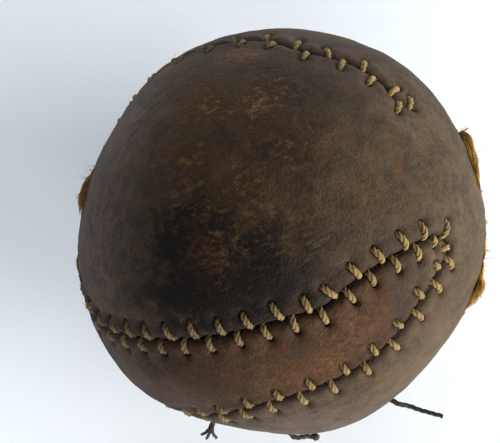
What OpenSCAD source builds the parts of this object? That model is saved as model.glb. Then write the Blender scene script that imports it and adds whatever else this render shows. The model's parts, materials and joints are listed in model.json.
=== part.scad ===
// Hand-sewn ball: a lemon-peel leather cover with one inset petal, over a wound core.
// The origin is the ball's centre, +Z is up, and the worn flat that it rests on faces -Z.

/* [Ball] */
// Diameter over the leather
ball_d = 70; // [62:1:80]
// Thickness of the cover leather
leather_t = 1.6; // [1.2:0.1:2.2]
// Depth of the worn flat that the ball rests on
flat_depth = 0.4; // [0.2:0.1:0.5]
// Diameter of the open eye where the four seams cross
eye_d = 4; // [3:0.5:5]

/* [Inside] */
// Diameter of the rubber core
core_d = 18; // [12:1:24]
// Thickness of the cotton twine wound over the wool
twine_t = 7; // [4:0.5:10]

/* [Stitching] */
// Thickness of the sewing thread
thread_d = 0.9; // [0.7:0.1:1.1]
// Distance from a seam to the awl holes in the cover
cover_reach = 2.7; // [2.2:0.1:3.2]
// Distance from a seam to the awl holes in the inset petal
petal_reach = 2.3; // [1.9:0.1:2.6]
// Distance from the seam to the awl holes inside the petal's tip
tip_reach = 1.5; // [1.3:0.1:1.7]
// How far the cover-side stitches slant along their seam
stitch_slant = 0.6; // [0:0.1:0.7]
// Spacing of the stitches along the crown seam
crown_pitch = 5.6; // [4.5:0.1:7]
// Spacing of the stitches along the upper side of the petal
upper_pitch = 4.2; // [4:0.1:6]
// Spacing of the stitches round the tip of the petal
tip_pitch = 3.2; // [2.8:0.1:4]
// Spacing of the stitches along the lower side of the petal
lower_pitch = 5.2; // [4.5:0.1:7]
// Spacing of the stitches along the back seam
back_pitch = 5.2; // [4.5:0.1:7]

/* [Loose ends] */
// Thickness of the dark waxed tails
tail_d = 0.9; // [0.7:0.1:1.1]
// Thickness of the frayed thread ends
frayed_d = 1.1; // [0.8:0.1:1.4]

/* [Fits] */
// Clearance round the thread in a hole, a seam or a channel
thread_fit = 0.1; // [0.05:0.05:0.15]
// Clearance between one layer of the ball and the next
layer_fit = 0.05; // [0.03:0.01:0.1]

/* [Hidden] */
$fn = 96;

// Seam lines as [longitude, latitude] in degrees; all four meet at the eye
eye_place = [188, -2];
crown_line = [
    eye_place, [170, 5], [146, 15], [122, 31], [98, 41],
    [80, 49], [64, 48], [48, 48], [40, 49], [33, 45]
];
// Round the petal: along its upper side, about its tip and back along its lower side
petal_line = [
    eye_place, [197, 8], [203, 14], [211, 18], [221, 29], [234, 41], [252, 51], [273, 57], [289, 58],
    [306, 60], [324, 58], [337, 53], [344, 48], [345, 43], [342, 41], [336, 42], [322, 42], [302, 39],
    [277, 34], [263, 27], [253, 17], [246, 7], [234, -5], [214, -11], [198, -8], eye_place
];
petal_tip_waypoint = 13;
back_line = [
    eye_place, [174, -14], [154, -25], [130, -31], [104, -30], [80, -23], [58, -11],
    [40, 4], [27, 14], [12, 12], [-4, 9], [-18, 5], [-28, 0]
];

// Loose ends as [longitude, latitude, rise above the leather in mm]
stiff_tail_route = [
    [-58, 1, -1.5], [-58, 1, 0.5], [-56, 1, 1.1], [-54, 0, 2.4], [-52, 0, 4.4], [-49, 0, 7.4]
];
short_tail_route = [[-88, -3, -1.5], [-88, -3, 0.5], [-86, -4, 0.8], [-82, -6, 1], [-79, -7, 1]];
forked_tail_routes = [
    [[-109, -2, -1.5], [-109, -2, 0.6], [-110, -4, 1.6], [-112, -6, 2.7]],
    [[-109, -2, -1.5], [-109, -2, 0.6], [-109, -4, 1.8], [-109, -7, 3.2]],
    [[-109, -2, -1.5], [-109, -2, 0.6], [-108, -4, 1.6], [-107, -6, 2.6]]
];
frayed_upper_route = [[25, 21, -1.5], [25, 21, 0.7], [22, 21, 1], [17, 20, 1], [12, 19, 1], [7, 18, 1]];
frayed_lower_route = [[-12, 15, -1.5], [-12, 15, 0.7], [-16, 14, 1], [-21, 12, 1], [-26, 11, 1]];
frayed_left_route = [
    [165, 20, -1.5], [165, 20, 0.7], [168, 20, 0.9], [172, 19, 0.9], [176, 18, 0.9], [180, 17, 0.9]
];

// Radii from the ball's centre outwards
ball_r = ball_d / 2;
leather_in_r = ball_r - leather_t;
twine_r = leather_in_r - layer_fit;
wool_r = twine_r - twine_t;
core_r = core_d / 2;
thread_over_r = ball_r + thread_d / 2 + thread_fit;
thread_under_r = leather_in_r - thread_d / 2 - thread_fit;
channel_floor_r = thread_under_r - thread_d / 2 - thread_fit;

// Cuts through the leather
slit_w = thread_d + 2 * thread_fit;
hole_d = thread_d + 2 * thread_fit;
tail_hole_d = tail_d + 2 * thread_fit;
frayed_hole_d = frayed_d + 2 * thread_fit;
eye_r = eye_d / 2;
overcut = 1;
// Pole of the spheres that the seams cut, and the turn that brings their edge into whole leather
globe_pole = [24, 31];
globe_turn = -90;
// Every seam's cut starts just inside the eye
cut_start = eye_r - overcut / 2;
cut_low_r = leather_in_r - overcut;
cut_high_r = ball_r + overcut;

// The petal's block stands well proud of the ball, so that its flat facets clear the curve
block_low_r = 0.9 * leather_in_r;
block_high_r = 1.25 * ball_r;
block_steps = 40;
block_tip_share = 0.01;
block_crowding = 1.5;

// Stitching layout along the seams
stitch_start = eye_r + 1.5 * cover_reach;
slit_end_margin = thread_d;
tip_span = 6;
crossing_reach = eye_r + 0.8 * cover_reach;
crossing_bearings = [-8, 76];

thread_sides = 6;
tail_sides = 8;
tail_steps = 3;
line_steps = 8;
slit_step = 3;
probe = 0.2;

function unit(v) = v / norm(v);

function on_globe(place) = [
    cos(place[1]) * cos(place[0]),
    cos(place[1]) * sin(place[0]),
    sin(place[1])
];

// Smooth curve through the points p, with the given number of steps between neighbours
function spline_point(p, i, t) =
    let (a = p[max(i - 1, 0)], b = p[i], c = p[i + 1], d = p[min(i + 2, len(p) - 1)])
    b + 0.5 * t * (c - a + t * (2 * a - 5 * b + 4 * c - d + t * (3 * (b - c) + d - a)));

function spline(p, steps) = [
    for (i = [0 : len(p) - 2], k = [0 : steps - 1]) spline_point(p, i, k / steps),
    p[len(p) - 1]
];

// Distance travelled at each point of p
function run(p) = [
    for (i = 0, s = 0; i < len(p); s = s + (i + 1 < len(p) ? norm(p[i + 1] - p[i]) : 0), i = i + 1) s
];

// A seam is three tables that give x, y and z on the unit globe against the distance along the seam
function seam(line) =
    let (
        p = [for (u = spline([for (place = line) on_globe(place)], line_steps)) unit(u)],
        s = ball_r * run(p)
    )
    [for (axis = [0 : 2]) [for (i = [0 : len(p) - 1]) [s[i], p[i][axis]]]];

function distance_at(seam, waypoint) = seam[0][waypoint * line_steps][0];
function seam_length(seam) = seam[0][len(seam[0]) - 1][0];
function at(seam, s) = unit([for (axis = [0 : 2]) lookup(s, seam[axis])]);
function heading(seam, s) = unit(at(seam, s + probe) - at(seam, s - probe));

// Point beside the seam, to the left of its travel as seen from outside
function beside(seam, s, left) =
    let (u = at(seam, s))
    unit(u + cross(u, heading(seam, s)) * left / ball_r);

crown_seam = seam(crown_line);
petal_seam = seam(petal_line);
back_seam = seam(back_line);
petal_length = seam_length(petal_seam);
tip_s = distance_at(petal_seam, petal_tip_waypoint);

// One stitch is [awl hole, point where it dives into the seam, side], left side first
function stitches(seam, from, to, pitch, left_reach, right_reach, slant) =
    let (count = max(1, floor((to - from) / pitch)), step = (to - from) / count)
    [
        for (i = [0 : count - 1], side = [0, 1])
            let (s = from + step * (i + 0.25 + side / 2), left = side == 0)
            [
                beside(seam, s, left ? left_reach : -right_reach),
                at(seam, s + (left ? slant : 0)),
                side
            ]
    ];

// One more stitch on the crown seam's far side closes its end
crown_end_s = seam_length(crown_seam) - slit_end_margin;
crown_end_stitch = [beside(crown_seam, crown_end_s, cover_reach), at(crown_seam, crown_end_s), 0];
crown_stitches = concat(
    stitches(
        crown_seam, stitch_start, crown_end_s - stitch_slant, crown_pitch, cover_reach, cover_reach, stitch_slant
    ),
    [crown_end_stitch]
);
back_stitches = stitches(
    back_seam, stitch_start, seam_length(back_seam) - slit_end_margin - stitch_slant,
    back_pitch, cover_reach, cover_reach, stitch_slant
);
upper_stitches = stitches(
    petal_seam, stitch_start, tip_s - tip_span, upper_pitch, cover_reach, petal_reach, stitch_slant
);
tip_stitches = stitches(petal_seam, tip_s - tip_span, tip_s + tip_span, tip_pitch, cover_reach, tip_reach, 0);
lower_stitches = stitches(
    petal_seam, tip_s + tip_span, petal_length - stitch_start, lower_pitch, cover_reach, petal_reach, 0
);
petal_stitches = concat(upper_stitches, tip_stitches, lower_stitches);

// The two crossing stitches bridge the eye from hole to hole, on bearings from north
eye = on_globe(eye_place);
eye_east = unit(cross([0, 0, 1], eye));
eye_north = cross(eye, eye_east);
function from_eye(bearing) =
    unit(eye + (cos(bearing) * eye_north + sin(bearing) * eye_east) * crossing_reach / ball_r);
crossing_holes = [for (bearing = crossing_bearings, turn = [0, 180]) from_eye(bearing + turn)];
petal_crossing_hole = 2;

function holes_on(list, side) = [for (stitch = list) if (stitch[2] == side) stitch[0]];
function holes_of(list) = [for (stitch = list) stitch[0]];

tail_holes = [for (route = [stiff_tail_route, short_tail_route, forked_tail_routes[0]]) on_globe(route[0])];
frayed_holes = [for (route = [frayed_upper_route, frayed_lower_route, frayed_left_route]) on_globe(route[0])];

// The thread comes up through the hole, crosses to the seam, dives and runs under the leather
function thread_path(list) = [
    for (stitch = list) each [
        stitch[0] * thread_under_r, stitch[0] * thread_over_r,
        stitch[1] * thread_over_r, stitch[1] * thread_under_r
    ]
];

function route_points(route) = spline(
    [for (place = route) on_globe(place) * (ball_r + place[2])], tail_steps
);

// Rings of a tube with mitred corners along a path
function mitre(path, i) =
    let (
        last = len(path) - 1,
        before = unit(path[max(i, 1)] - path[max(i, 1) - 1]),
        after = unit(path[min(i, last - 1) + 1] - path[min(i, last - 1)])
    )
    unit(before + after);

function carried(ring, path, i) =
    let (along = unit(path[i + 1] - path[i]), face = mitre(path, i + 1))
    [for (spoke = ring) spoke - along * (spoke * face) / (along * face)];

function tube_rings(path, d, sides) =
    let (
        along = unit(path[1] - path[0]),
        across = unit(cross(along, abs(along[2]) < 0.9 ? [0, 0, 1] : [1, 0, 0])),
        third = cross(along, across),
        first = [for (k = [0 : sides - 1]) let (a = 360 * k / sides) d / 2 * (cos(a) * across + sin(a) * third)]
    )
    [
        for (i = 0, ring = first; i < len(path);
             ring = i + 1 < len(path) ? carried(ring, path, i) : ring, i = i + 1)
            [for (spoke = ring) path[i] + spoke]
    ];

// Closed solid through a row of rings that all have as many points
module loft(rings) {
    count = len(rings[0]);
    last = (len(rings) - 1) * count;
    sides = [
        for (i = [0 : len(rings) - 2], k = [0 : count - 1])
            let (a = i * count + k, b = i * count + (k + 1) % count)
            each [[a, a + count, b], [b, a + count, b + count]]
    ];
    ends = [[for (k = [0 : count - 1]) k], [for (k = [count - 1 : -1 : 0]) last + k]];
    polyhedron(points = [for (ring = rings) each ring], faces = concat(sides, ends));
}

module tube(path, d, sides) {
    loft(tube_rings(path, d, sides));
}

module thread(list) {
    tube(thread_path(list), thread_d, thread_sides);
}

module tail(route, d) {
    tube(route_points(route), d, tail_sides);
}

// Turns +Z to point along u
module outward(u) {
    rotate([0, acos(u[2]), atan2(u[1], u[0])]) children();
}

// Wall-sided cut along a stretch of seam, from its left width to its right width
module seam_cut(seam, from, to, left, right, low_r, high_r) {
    count = ceil((to - from) / slit_step);
    loft([
        for (k = [0 : count])
            let (
                s = from + (to - from) * k / count,
                l = beside(seam, s, left),
                r = beside(seam, s, -right)
            )
            [l * low_r, l * high_r, r * high_r, r * low_r]
    ]);
}

module slit(seam) {
    seam_cut(seam, cut_start, seam_length(seam), slit_w / 2, slit_w / 2, cut_low_r, cut_high_r);
}

// Block of the petal's outline, grown or drawn in by half a seam
module petal_block(grow) {
    loft([
        for (k = [0 : block_steps])
            let (
                share = block_tip_share + (1 - block_tip_share) * pow(k / block_steps, block_crowding),
                l = beside(petal_seam, tip_s - share * (tip_s - cut_start), grow),
                r = beside(petal_seam, tip_s + share * (petal_length - cut_start - tip_s), grow)
            )
            [l * block_low_r, r * block_low_r, r * block_high_r, l * block_high_r]
    ]);
}

module awl_holes(places, d) {
    for (u = places) outward(u) translate([0, 0, cut_low_r]) cylinder(d = d, h = cut_high_r - cut_low_r);
}

module eye_cut() {
    outward(eye) translate([0, 0, cut_low_r]) cylinder(r = eye_r, h = cut_high_r - cut_low_r);
}

// Sphere whose own pole-to-pole edge runs through whole leather, clear of every seam
module globe(r) {
    rotate([0, 90 - globe_pole[1], globe_pole[0]]) rotate(globe_turn) sphere(r = r);
}

module leather_shell() {
    difference() {
        globe(ball_r);
        globe(leather_in_r);
    }
}

module worn_flat() {
    translate([-ball_r, -ball_r, -ball_r - overcut]) cube([ball_d, ball_d, flat_depth + overcut]);
}

// Room in the winding for the thread that runs under the leather
module channel(seam, from, to, left_reach, right_reach) {
    seam_cut(seam, from, to, left_reach + hole_d, right_reach + hole_d, cut_low_r - thread_d, cut_high_r);
}

module round_room(u, r) {
    outward(u) cylinder(r = r, h = cut_high_r);
}

module thread_room() {
    tip_from = at(petal_seam, tip_s - tip_span);
    tip_to = at(petal_seam, tip_s + tip_span);
    tip_middle = unit(tip_from + tip_to);
    tip_throw = ball_r * norm(at(petal_seam, tip_s) - tip_middle);
    channel(crown_seam, crossing_reach, seam_length(crown_seam), cover_reach, cover_reach);
    channel(back_seam, crossing_reach, seam_length(back_seam), cover_reach, cover_reach);
    channel(petal_seam, crossing_reach, tip_s - tip_span, cover_reach, petal_reach);
    channel(petal_seam, tip_s + tip_span, petal_length - crossing_reach, cover_reach, petal_reach);
    round_room(tip_middle, tip_throw + cover_reach + hole_d);
    round_room(eye, crossing_reach + hole_d);
}

module rubber_core() {
    color("#4a4038") sphere(r = core_r);
}

module wool_winding() {
    color("#b9a98c") difference() {
        sphere(r = wool_r);
        sphere(r = core_r + layer_fit);
    }
}

module twine_winding() {
    color("#a8946c") difference() {
        union() {
            globe(channel_floor_r);
            difference() {
                globe(twine_r);
                thread_room();
            }
        }
        sphere(r = wool_r + layer_fit);
    }
}

module peel_cover() {
    color("#33261f") difference() {
        leather_shell();
        petal_block(slit_w / 2);
        slit(crown_seam);
        slit(back_seam);
        eye_cut();
        awl_holes(concat(holes_of(crown_stitches), holes_of(back_stitches)), hole_d);
        awl_holes(holes_on(petal_stitches, 0), hole_d);
        awl_holes(crossing_holes, hole_d);
        awl_holes(tail_holes, tail_hole_d);
        awl_holes(frayed_holes, frayed_hole_d);
        worn_flat();
    }
}

module inset_petal() {
    color("#63472f") difference() {
        intersection() {
            leather_shell();
            petal_block(-slit_w / 2);
        }
        eye_cut();
        awl_holes(holes_on(petal_stitches, 1), hole_d);
        awl_holes([crossing_holes[petal_crossing_hole]], hole_d);
    }
}

module crown_seam_thread() {
    color("#a08748") thread(crown_stitches);
}

module petal_upper_thread() {
    color("#a08748") thread(upper_stitches);
}

module petal_tip_thread() {
    color("#b08a3c") thread(tip_stitches);
}

module petal_lower_thread() {
    color("#a08748") thread(lower_stitches);
}

module back_seam_thread() {
    color("#a08748") thread(back_stitches);
}

// One thread makes both stitches over the eye, and the second lies across the first
module crossing_stitches() {
    path = [
        for (layer = [0, 1])
            let (
                a = crossing_holes[2 * layer],
                b = crossing_holes[2 * layer + 1],
                top_r = thread_over_r + layer * (thread_d + thread_fit)
            )
            each [a * thread_under_r, a * thread_over_r, eye * top_r, b * thread_over_r, b * thread_under_r]
    ];
    color("#a08748") tube(path, thread_d, thread_sides);
}

module forked_tail() {
    color("#3b2a2c") for (route = forked_tail_routes) tail(route, tail_d);
}

module short_tail() {
    color("#3b2a2c") tail(short_tail_route, tail_d);
}

module stiff_tail() {
    color("#3b2a2c") tail(stiff_tail_route, tail_d);
}

module frayed_end_upper() {
    color("#c88f2e") tail(frayed_upper_route, frayed_d);
}

module frayed_end_lower() {
    color("#c88f2e") tail(frayed_lower_route, frayed_d);
}

module frayed_end_left() {
    color("#c88f2e") tail(frayed_left_route, frayed_d);
}

rubber_core();
wool_winding();
twine_winding();
peel_cover();
inset_petal();
crown_seam_thread();
petal_upper_thread();
petal_tip_thread();
petal_lower_thread();
back_seam_thread();
crossing_stitches();
forked_tail();
short_tail();
stiff_tail();
frayed_end_upper();
frayed_end_lower();
frayed_end_left();
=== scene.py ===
"""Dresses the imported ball: worn leather, twisted sewing thread, loose ends and the wound inside."""

import json
import math

import bpy
import numpy as np
from mathutils import Matrix, Vector, noise

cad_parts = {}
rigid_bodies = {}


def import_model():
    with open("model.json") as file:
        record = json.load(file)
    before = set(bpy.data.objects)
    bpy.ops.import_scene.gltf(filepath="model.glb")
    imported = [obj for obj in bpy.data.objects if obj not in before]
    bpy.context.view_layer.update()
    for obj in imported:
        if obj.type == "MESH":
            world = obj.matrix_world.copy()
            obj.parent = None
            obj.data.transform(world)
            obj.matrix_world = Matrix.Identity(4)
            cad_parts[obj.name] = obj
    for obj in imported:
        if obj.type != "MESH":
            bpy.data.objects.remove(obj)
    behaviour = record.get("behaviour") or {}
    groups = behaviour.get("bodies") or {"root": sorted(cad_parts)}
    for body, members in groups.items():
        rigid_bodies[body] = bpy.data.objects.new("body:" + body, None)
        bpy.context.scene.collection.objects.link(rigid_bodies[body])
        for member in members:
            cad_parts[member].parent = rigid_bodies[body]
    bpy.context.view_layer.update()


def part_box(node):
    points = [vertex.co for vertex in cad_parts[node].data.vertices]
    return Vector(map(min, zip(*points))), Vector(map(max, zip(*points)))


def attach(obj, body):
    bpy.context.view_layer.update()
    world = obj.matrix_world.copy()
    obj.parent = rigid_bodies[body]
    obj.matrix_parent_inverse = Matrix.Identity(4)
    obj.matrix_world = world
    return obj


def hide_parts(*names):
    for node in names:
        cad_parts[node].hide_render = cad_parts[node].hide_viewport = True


bl_info = {
    "name": "Lemon Peel Ball",
    "version": (1, 0, 0),
    "blender": (4, 5, 0),
    "location": "3D View > Sidebar > Ball",
    "description": "Builds a worn hand-sewn leather ball around its packed frame",
    "category": "Object",
}

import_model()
cover_low, cover_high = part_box("peel_cover")

# Work is done in millimetres and turned into metres where a mesh is made
MM = 0.001

# Seam lines as longitude and latitude in degrees; all start at the eye
EYE = (188, -2)
CROWN_LINE = (
    EYE, (170, 5), (146, 15), (122, 31), (98, 41), (80, 49), (64, 48), (48, 48), (40, 49), (33, 45),
)
PETAL_LINE = (
    EYE, (197, 8), (203, 14), (211, 18), (221, 29), (234, 41), (252, 51), (273, 57), (289, 58),
    (306, 60), (324, 58), (337, 53), (344, 48), (345, 43), (342, 41), (336, 42), (322, 42), (302, 39),
    (277, 34), (263, 27), (253, 17), (246, 7), (234, -5), (214, -11), (198, -8), EYE,
)
PETAL_TIP = 13
BACK_LINE = (
    EYE, (174, -14), (154, -25), (130, -31), (104, -30), (80, -23), (58, -11), (40, 4), (27, 14),
    (12, 12), (-4, 9), (-18, 5), (-28, 0),
)
LINE_STEPS = 8
TIP_SPAN = 6.0
CROSSING_BEARINGS = (-8, 76)
FOOT = np.array((0.0, 0.0, -1.0))

# Loose ends as longitude, latitude and rise above the leather in millimetres
STIFF_TAIL = (
    (-58, 1, -1.5), (-58, 1, 0.5), (-56, 1, 1.1), (-54, 0, 2.4), (-52, 0, 4.4), (-49, 0, 7.4),
)
SHORT_TAIL = ((-88, -3, -1.5), (-88, -3, 0.5), (-86, -4, 0.5), (-82, -6, 0.6), (-79, -7, 1))
FORKED_TAIL = (
    ((-109, -2, -1.5), (-109, -2, 0.6), (-109.5, -3.5, 1.4), (-111, -6, 2.7)),
    ((-109, -2, -1.5), (-109, -2, 0.6), (-109, -3.5, 1.6), (-109.5, -7, 3.2)),
    ((-109, -2, -1.5), (-109, -2, 0.6), (-108.5, -3.5, 1.4), (-107, -6, 2.6)),
)
FRAYED_UPPER = ((25, 21, -1.5), (25, 21, 0.7), (22, 21, 1), (17, 20, 1), (12, 19, 1), (7, 18, 1))
FRAYED_LOWER = ((-12, 15, -1.5), (-12, 15, 0.7), (-16, 14, 1), (-21, 12, 1), (-26, 11, 1))
FRAYED_LEFT = (
    (165, 20, -1.5), (165, 20, 0.7), (168, 20, 0.9), (172, 19, 0.9), (176, 18, 0.9), (180, 17, 0.9),
)

# Where use left the ball out of round: longitude, latitude, height in millimetres, width in degrees
LUMPS = (
    (-41, 6, -1.2, 22), (-99, 2, -0.9, 16), (-128, 6, 0.6, 12), (214, 7, 0.8, 24), (155, 21, -1.1, 20),
    (177, 18, -0.5, 10), (116, 26, 0.3, 18), (46, 25, 0.7, 16), (4, 16, 0.3, 16), (60, -30, -0.8, 24),
    (170, -45, 0.5, 26),
)

# Marks on the leather, each as longitude, latitude, strength and width in degrees
COVER_MARKS = {
    "scuff": (
        (138, 74, 1.3, 13), (130, 67, 2.4, 8), (101, 71, 1.6, 9), (160, 67, 1.0, 10), (109, 84, 0.7, 12),
        (-138, 81, 0.7, 12), (-135, 72, 0.6, 10), (-171, 72, 0.9, 12), (51, 80, 0.5, 14),
        (20, 62, 0.35, 20), (-40, 30, 0.35, 24), (20, -30, 0.6, 40), (140, -40, 0.6, 40),
        (230, -40, 0.6, 36),
    ),
    "rust": (
        (107, 51, 1.3, 4), (101, 52, 1.1, 3), (129, 35, 0.9, 3), (-124, 67, 0.4, 3), (-134, 66, 0.3, 4),
        (-58, 31, 0.4, 2), (6, 61, 0.7, 1.5), (-10, 68, 0.2, 4), (60, 0, 0.4, 8), (150, -30, 0.4, 8),
        (-80, -30, 0.4, 8),
    ),
    # Bloom is dry dust in part and painted sheen in part, strongest along the edge of the ball's left side
    "bloom": (
        (0, 25, 0.85, 32), (-45, 15, 0.9, 28), (35, 45, 0.8, 25), (-176, 30, 1.4, 25), (156, 38, 1.4, 20),
        (-164, 34, 1.1, 16), (128, 27, 0.7, 13), (-90, 0, 1.25, 30), (72, 34, 0.6, 18), (84, 42, 0.9, 9),
        (28, 51, 1.0, 12), (110, -40, 0.4, 40), (300, -40, 0.5, 34),
    ),
    "stain": (
        (-142, 64, 1.2, 14), (-128, 60, 1.45, 18), (-105, 63, 1.45, 16), (-140, 47, 0.7, 10),
        (-82, 64, 0.8, 14), (-165, 66, 0.1, 10), (78, 68, 0.55, 13), (57, 62, 0.5, 11), (90, 84, 0.4, 12),
        (-22, 64, 0.25, 12), (60, -20, 0.5, 26), (150, -10, 0.5, 24), (250, -50, 0.5, 26),
    ),
}
PETAL_MARKS = {
    "scuff": ((-95, 42, 0.4, 14), (-60, 48, 0.4, 14)),
    "rust": ((-73, 43, 0.5, 6), (-61, 49, 0.4, 8), (-88, 40, 0.3, 8)),
    # Bloom is dry dust in part and painted sheen in part
    "bloom": ((-24, 46, 0.9, 11), (-139, 19, 0.8, 18), (-118, 20, 0.5, 12)),
    "stain": (
        (-129, 27, 0.65, 6), (-122, 35, 0.6, 6), (-114, 35, 0.3, 6), (-140, 26, 0.4, 8), (-30, 50, 0.4, 8),
    ),
}


def length(name, description, default):
    return bpy.props.FloatProperty(name=name, description=description, default=default, unit="LENGTH")


def colour(name, description, default):
    return bpy.props.FloatVectorProperty(
        name=name, description=description, default=default, subtype="COLOR"
    )


class BallSizes(bpy.types.PropertyGroup):
    """Sizes of the ball, its leather and its sewing."""

    diameter: length("Diameter", "Over the leather", cover_high.x - cover_low.x)
    leather: length("Leather", "Thickness of the cover leather", 0.0016)
    thread: length("Thread", "Thickness of the sewing thread", 0.00094)
    cover_reach: length("Cover reach", "From a seam to the holes in the cover", 0.0027)
    petal_reach: length("Petal reach", "From a seam to the holes in the petal", 0.0023)
    tip_reach: length("Tip reach", "From the seam to the holes in the petal's tip", 0.0015)
    slant: length("Slant", "How far the cover stitches lean along their seam", 0.0006)
    groove: length("Groove", "How deep the leather rolls into a seam", 0.0012)
    lip: length("Lip", "How far the leather swells between stitches", 0.00024)


class BallColours(bpy.types.PropertyGroup):
    """Colours of the leather, the threads, the inside and the floor."""

    cover: colour("Cover", "Dark cover leather", (0.011, 0.0070, 0.0045))
    cover_worn: colour("Worn cover", "Rubbed cover leather", (0.062, 0.0415, 0.0235))
    petal: colour("Petal", "Dark reddish petal leather", (0.014, 0.0070, 0.0041))
    petal_worn: colour("Worn petal", "Rubbed petal leather", (0.052, 0.0245, 0.0120))
    russet: colour("Russet", "Warm brown in the rubbed leather", (0.046, 0.022, 0.0098))
    scuff: colour("Scuffs", "Golden flecks in the leather", (0.112, 0.064, 0.020))
    rust: colour("Rust", "Rusty orange spots", (0.13, 0.052, 0.016))
    # Bloom: dry dust in part and painted sheen in part
    bloom: colour("Bloom", "Dry grey bloom on the leather", (0.096, 0.071, 0.044))
    # Painted sheen in the cool light's tint on the ball's left and near sides
    painted_cool_sheen: colour("Haze", "More purple bloom on the left and near sides", (0.100, 0.073, 0.062))
    stain: colour("Stain", "Blackened leather", (0.0040, 0.0026, 0.0025))
    thread: colour("Thread", "Tan sewing thread", (0.215, 0.140, 0.044))
    # The grime colour also paints the shade in the seams' grooves, in the holes and round the stitches
    grime: colour("Grime", "Dirt in the thread and the seams", (0.024, 0.0145, 0.008))
    frayed: colour("Frayed ends", "Golden unravelled thread", (0.46, 0.23, 0.017))
    tail: colour("Tails", "Dark waxed thread ends", (0.013, 0.0072, 0.0088))
    twine: colour("Twine", "Cotton twine under the cover", (0.34, 0.26, 0.14))
    wool: colour("Wool", "Wool yarn over the core", (0.27, 0.22, 0.15))
    rubber: colour("Rubber", "Rubber core", (0.035, 0.026, 0.020))
    floor: colour("Floor", "Pale floor", (0.80, 0.86, 0.93))


# Geometry on the globe


def unit(v):
    return v / np.linalg.norm(v, axis=-1, keepdims=True)


def on_globe(lon, lat):
    """The direction of a place from the ball's centre."""
    lon, lat = math.radians(lon), math.radians(lat)
    return np.array((math.cos(lat) * math.cos(lon), math.cos(lat) * math.sin(lon), math.sin(lat)))


def degrees_from(u, place):
    """The angle between each direction and a place."""
    return np.degrees(np.arccos(np.clip(u @ place, -1, 1)))


def spline(points, steps):
    """A smooth curve through the points, with that many steps between neighbours."""
    p = np.asarray(points, float)
    padded = np.concatenate((p[:1], p, p[-1:]))
    a, b, c, d = padded[:-3, None], padded[1:-2, None], padded[2:-1, None], padded[3:, None]
    t = (np.arange(steps) / steps)[None, :, None]
    curve = b + 0.5 * t * (c - a + t * (2 * a - 5 * b + 4 * c - d + t * (3 * (b - c) + d - a)))
    return np.concatenate((curve.reshape(-1, p.shape[1]), p[-1:]))


def run_along(points):
    return np.concatenate(([0.0], np.cumsum(np.linalg.norm(np.diff(points, axis=0), axis=1))))


def at_runs(s, run, points):
    """Places at the distances s along a curve."""
    return np.stack([np.interp(s, run, column) for column in points.T], axis=-1)


def even(points, step):
    """The same curve with points at even steps."""
    run = run_along(points)
    return at_runs(np.linspace(0, run[-1], max(2, int(run[-1] / step) + 1)), run, points)


def ripple(u, scale, shift=0.0):
    """Smooth noise at the points u, from about -1 to 1."""
    return np.array([noise.noise(p) for p in (u * scale + shift).tolist()])


def hill(distance, width):
    return np.exp(-((distance / width) ** 2))


def bell(distance, height, width):
    """A smooth rise to that height where the distance is nothing."""
    return height * hill(distance, width)


def spot(u, lon, lat, height, width):
    """A smooth rise round a place, with its width in degrees."""
    return bell(degrees_from(u, on_globe(lon, lat)), height, width)


def ease(x):
    x = np.clip(x, 0, 1)
    return x * x * (3 - 2 * x)


class Seam:
    """One seam line, measured in millimetres along the leather."""

    PROBE = 0.2

    def __init__(self, line, radius):
        self.points = unit(spline([on_globe(*place) for place in line], LINE_STEPS))
        self.run = run_along(self.points) * radius
        self.length = self.run[-1]
        self.radius = radius

    def at(self, s):
        return unit(at_runs(np.atleast_1d(np.asarray(s, float)), self.run, self.points))

    def heading(self, s):
        s = np.atleast_1d(np.asarray(s, float))
        return unit(self.at(s + self.PROBE) - self.at(s - self.PROBE))

    def beside(self, s, left):
        """Places that far to the left of the seam."""
        left = np.atleast_1d(np.asarray(left, float))[:, None]
        return unit(self.at(s) + np.cross(self.at(s), self.heading(s)) * left / self.radius)


class Near:
    """For each of many points: its nearest seam, the place along it and the distance from it."""

    STEP = 0.25
    CHUNK = 4096

    def __init__(self, seams, u):
        s = [np.arange(0, seam.length, self.STEP) for seam in seams]
        points = np.concatenate([seam.at(v) for seam, v in zip(seams, s)])
        headings = np.concatenate([seam.heading(v) for seam, v in zip(seams, s)])
        owner = np.concatenate([np.full(len(v), i) for i, v in enumerate(s)])
        places = np.concatenate(s)
        chunks = range(0, len(u), self.CHUNK)
        pick = np.concatenate([np.argmax(u[i : i + self.CHUNK] @ points.T, axis=1) for i in chunks])
        offset = (u - points[pick]) * seams[0].radius
        self.seam = owner[pick]
        lengths = np.array([seam.length for seam in seams])[self.seam]
        self.across = np.cross(points[pick], headings[pick])
        self.along = places[pick] + np.sum(offset * headings[pick], axis=1)
        self.left = np.sum(offset * self.across, axis=1)
        self.past = np.maximum(0, np.maximum(self.along - lengths, -self.along))
        self.within = (self.along > 0) & (self.along < lengths)
        self.away = np.hypot(self.left, self.past)


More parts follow.
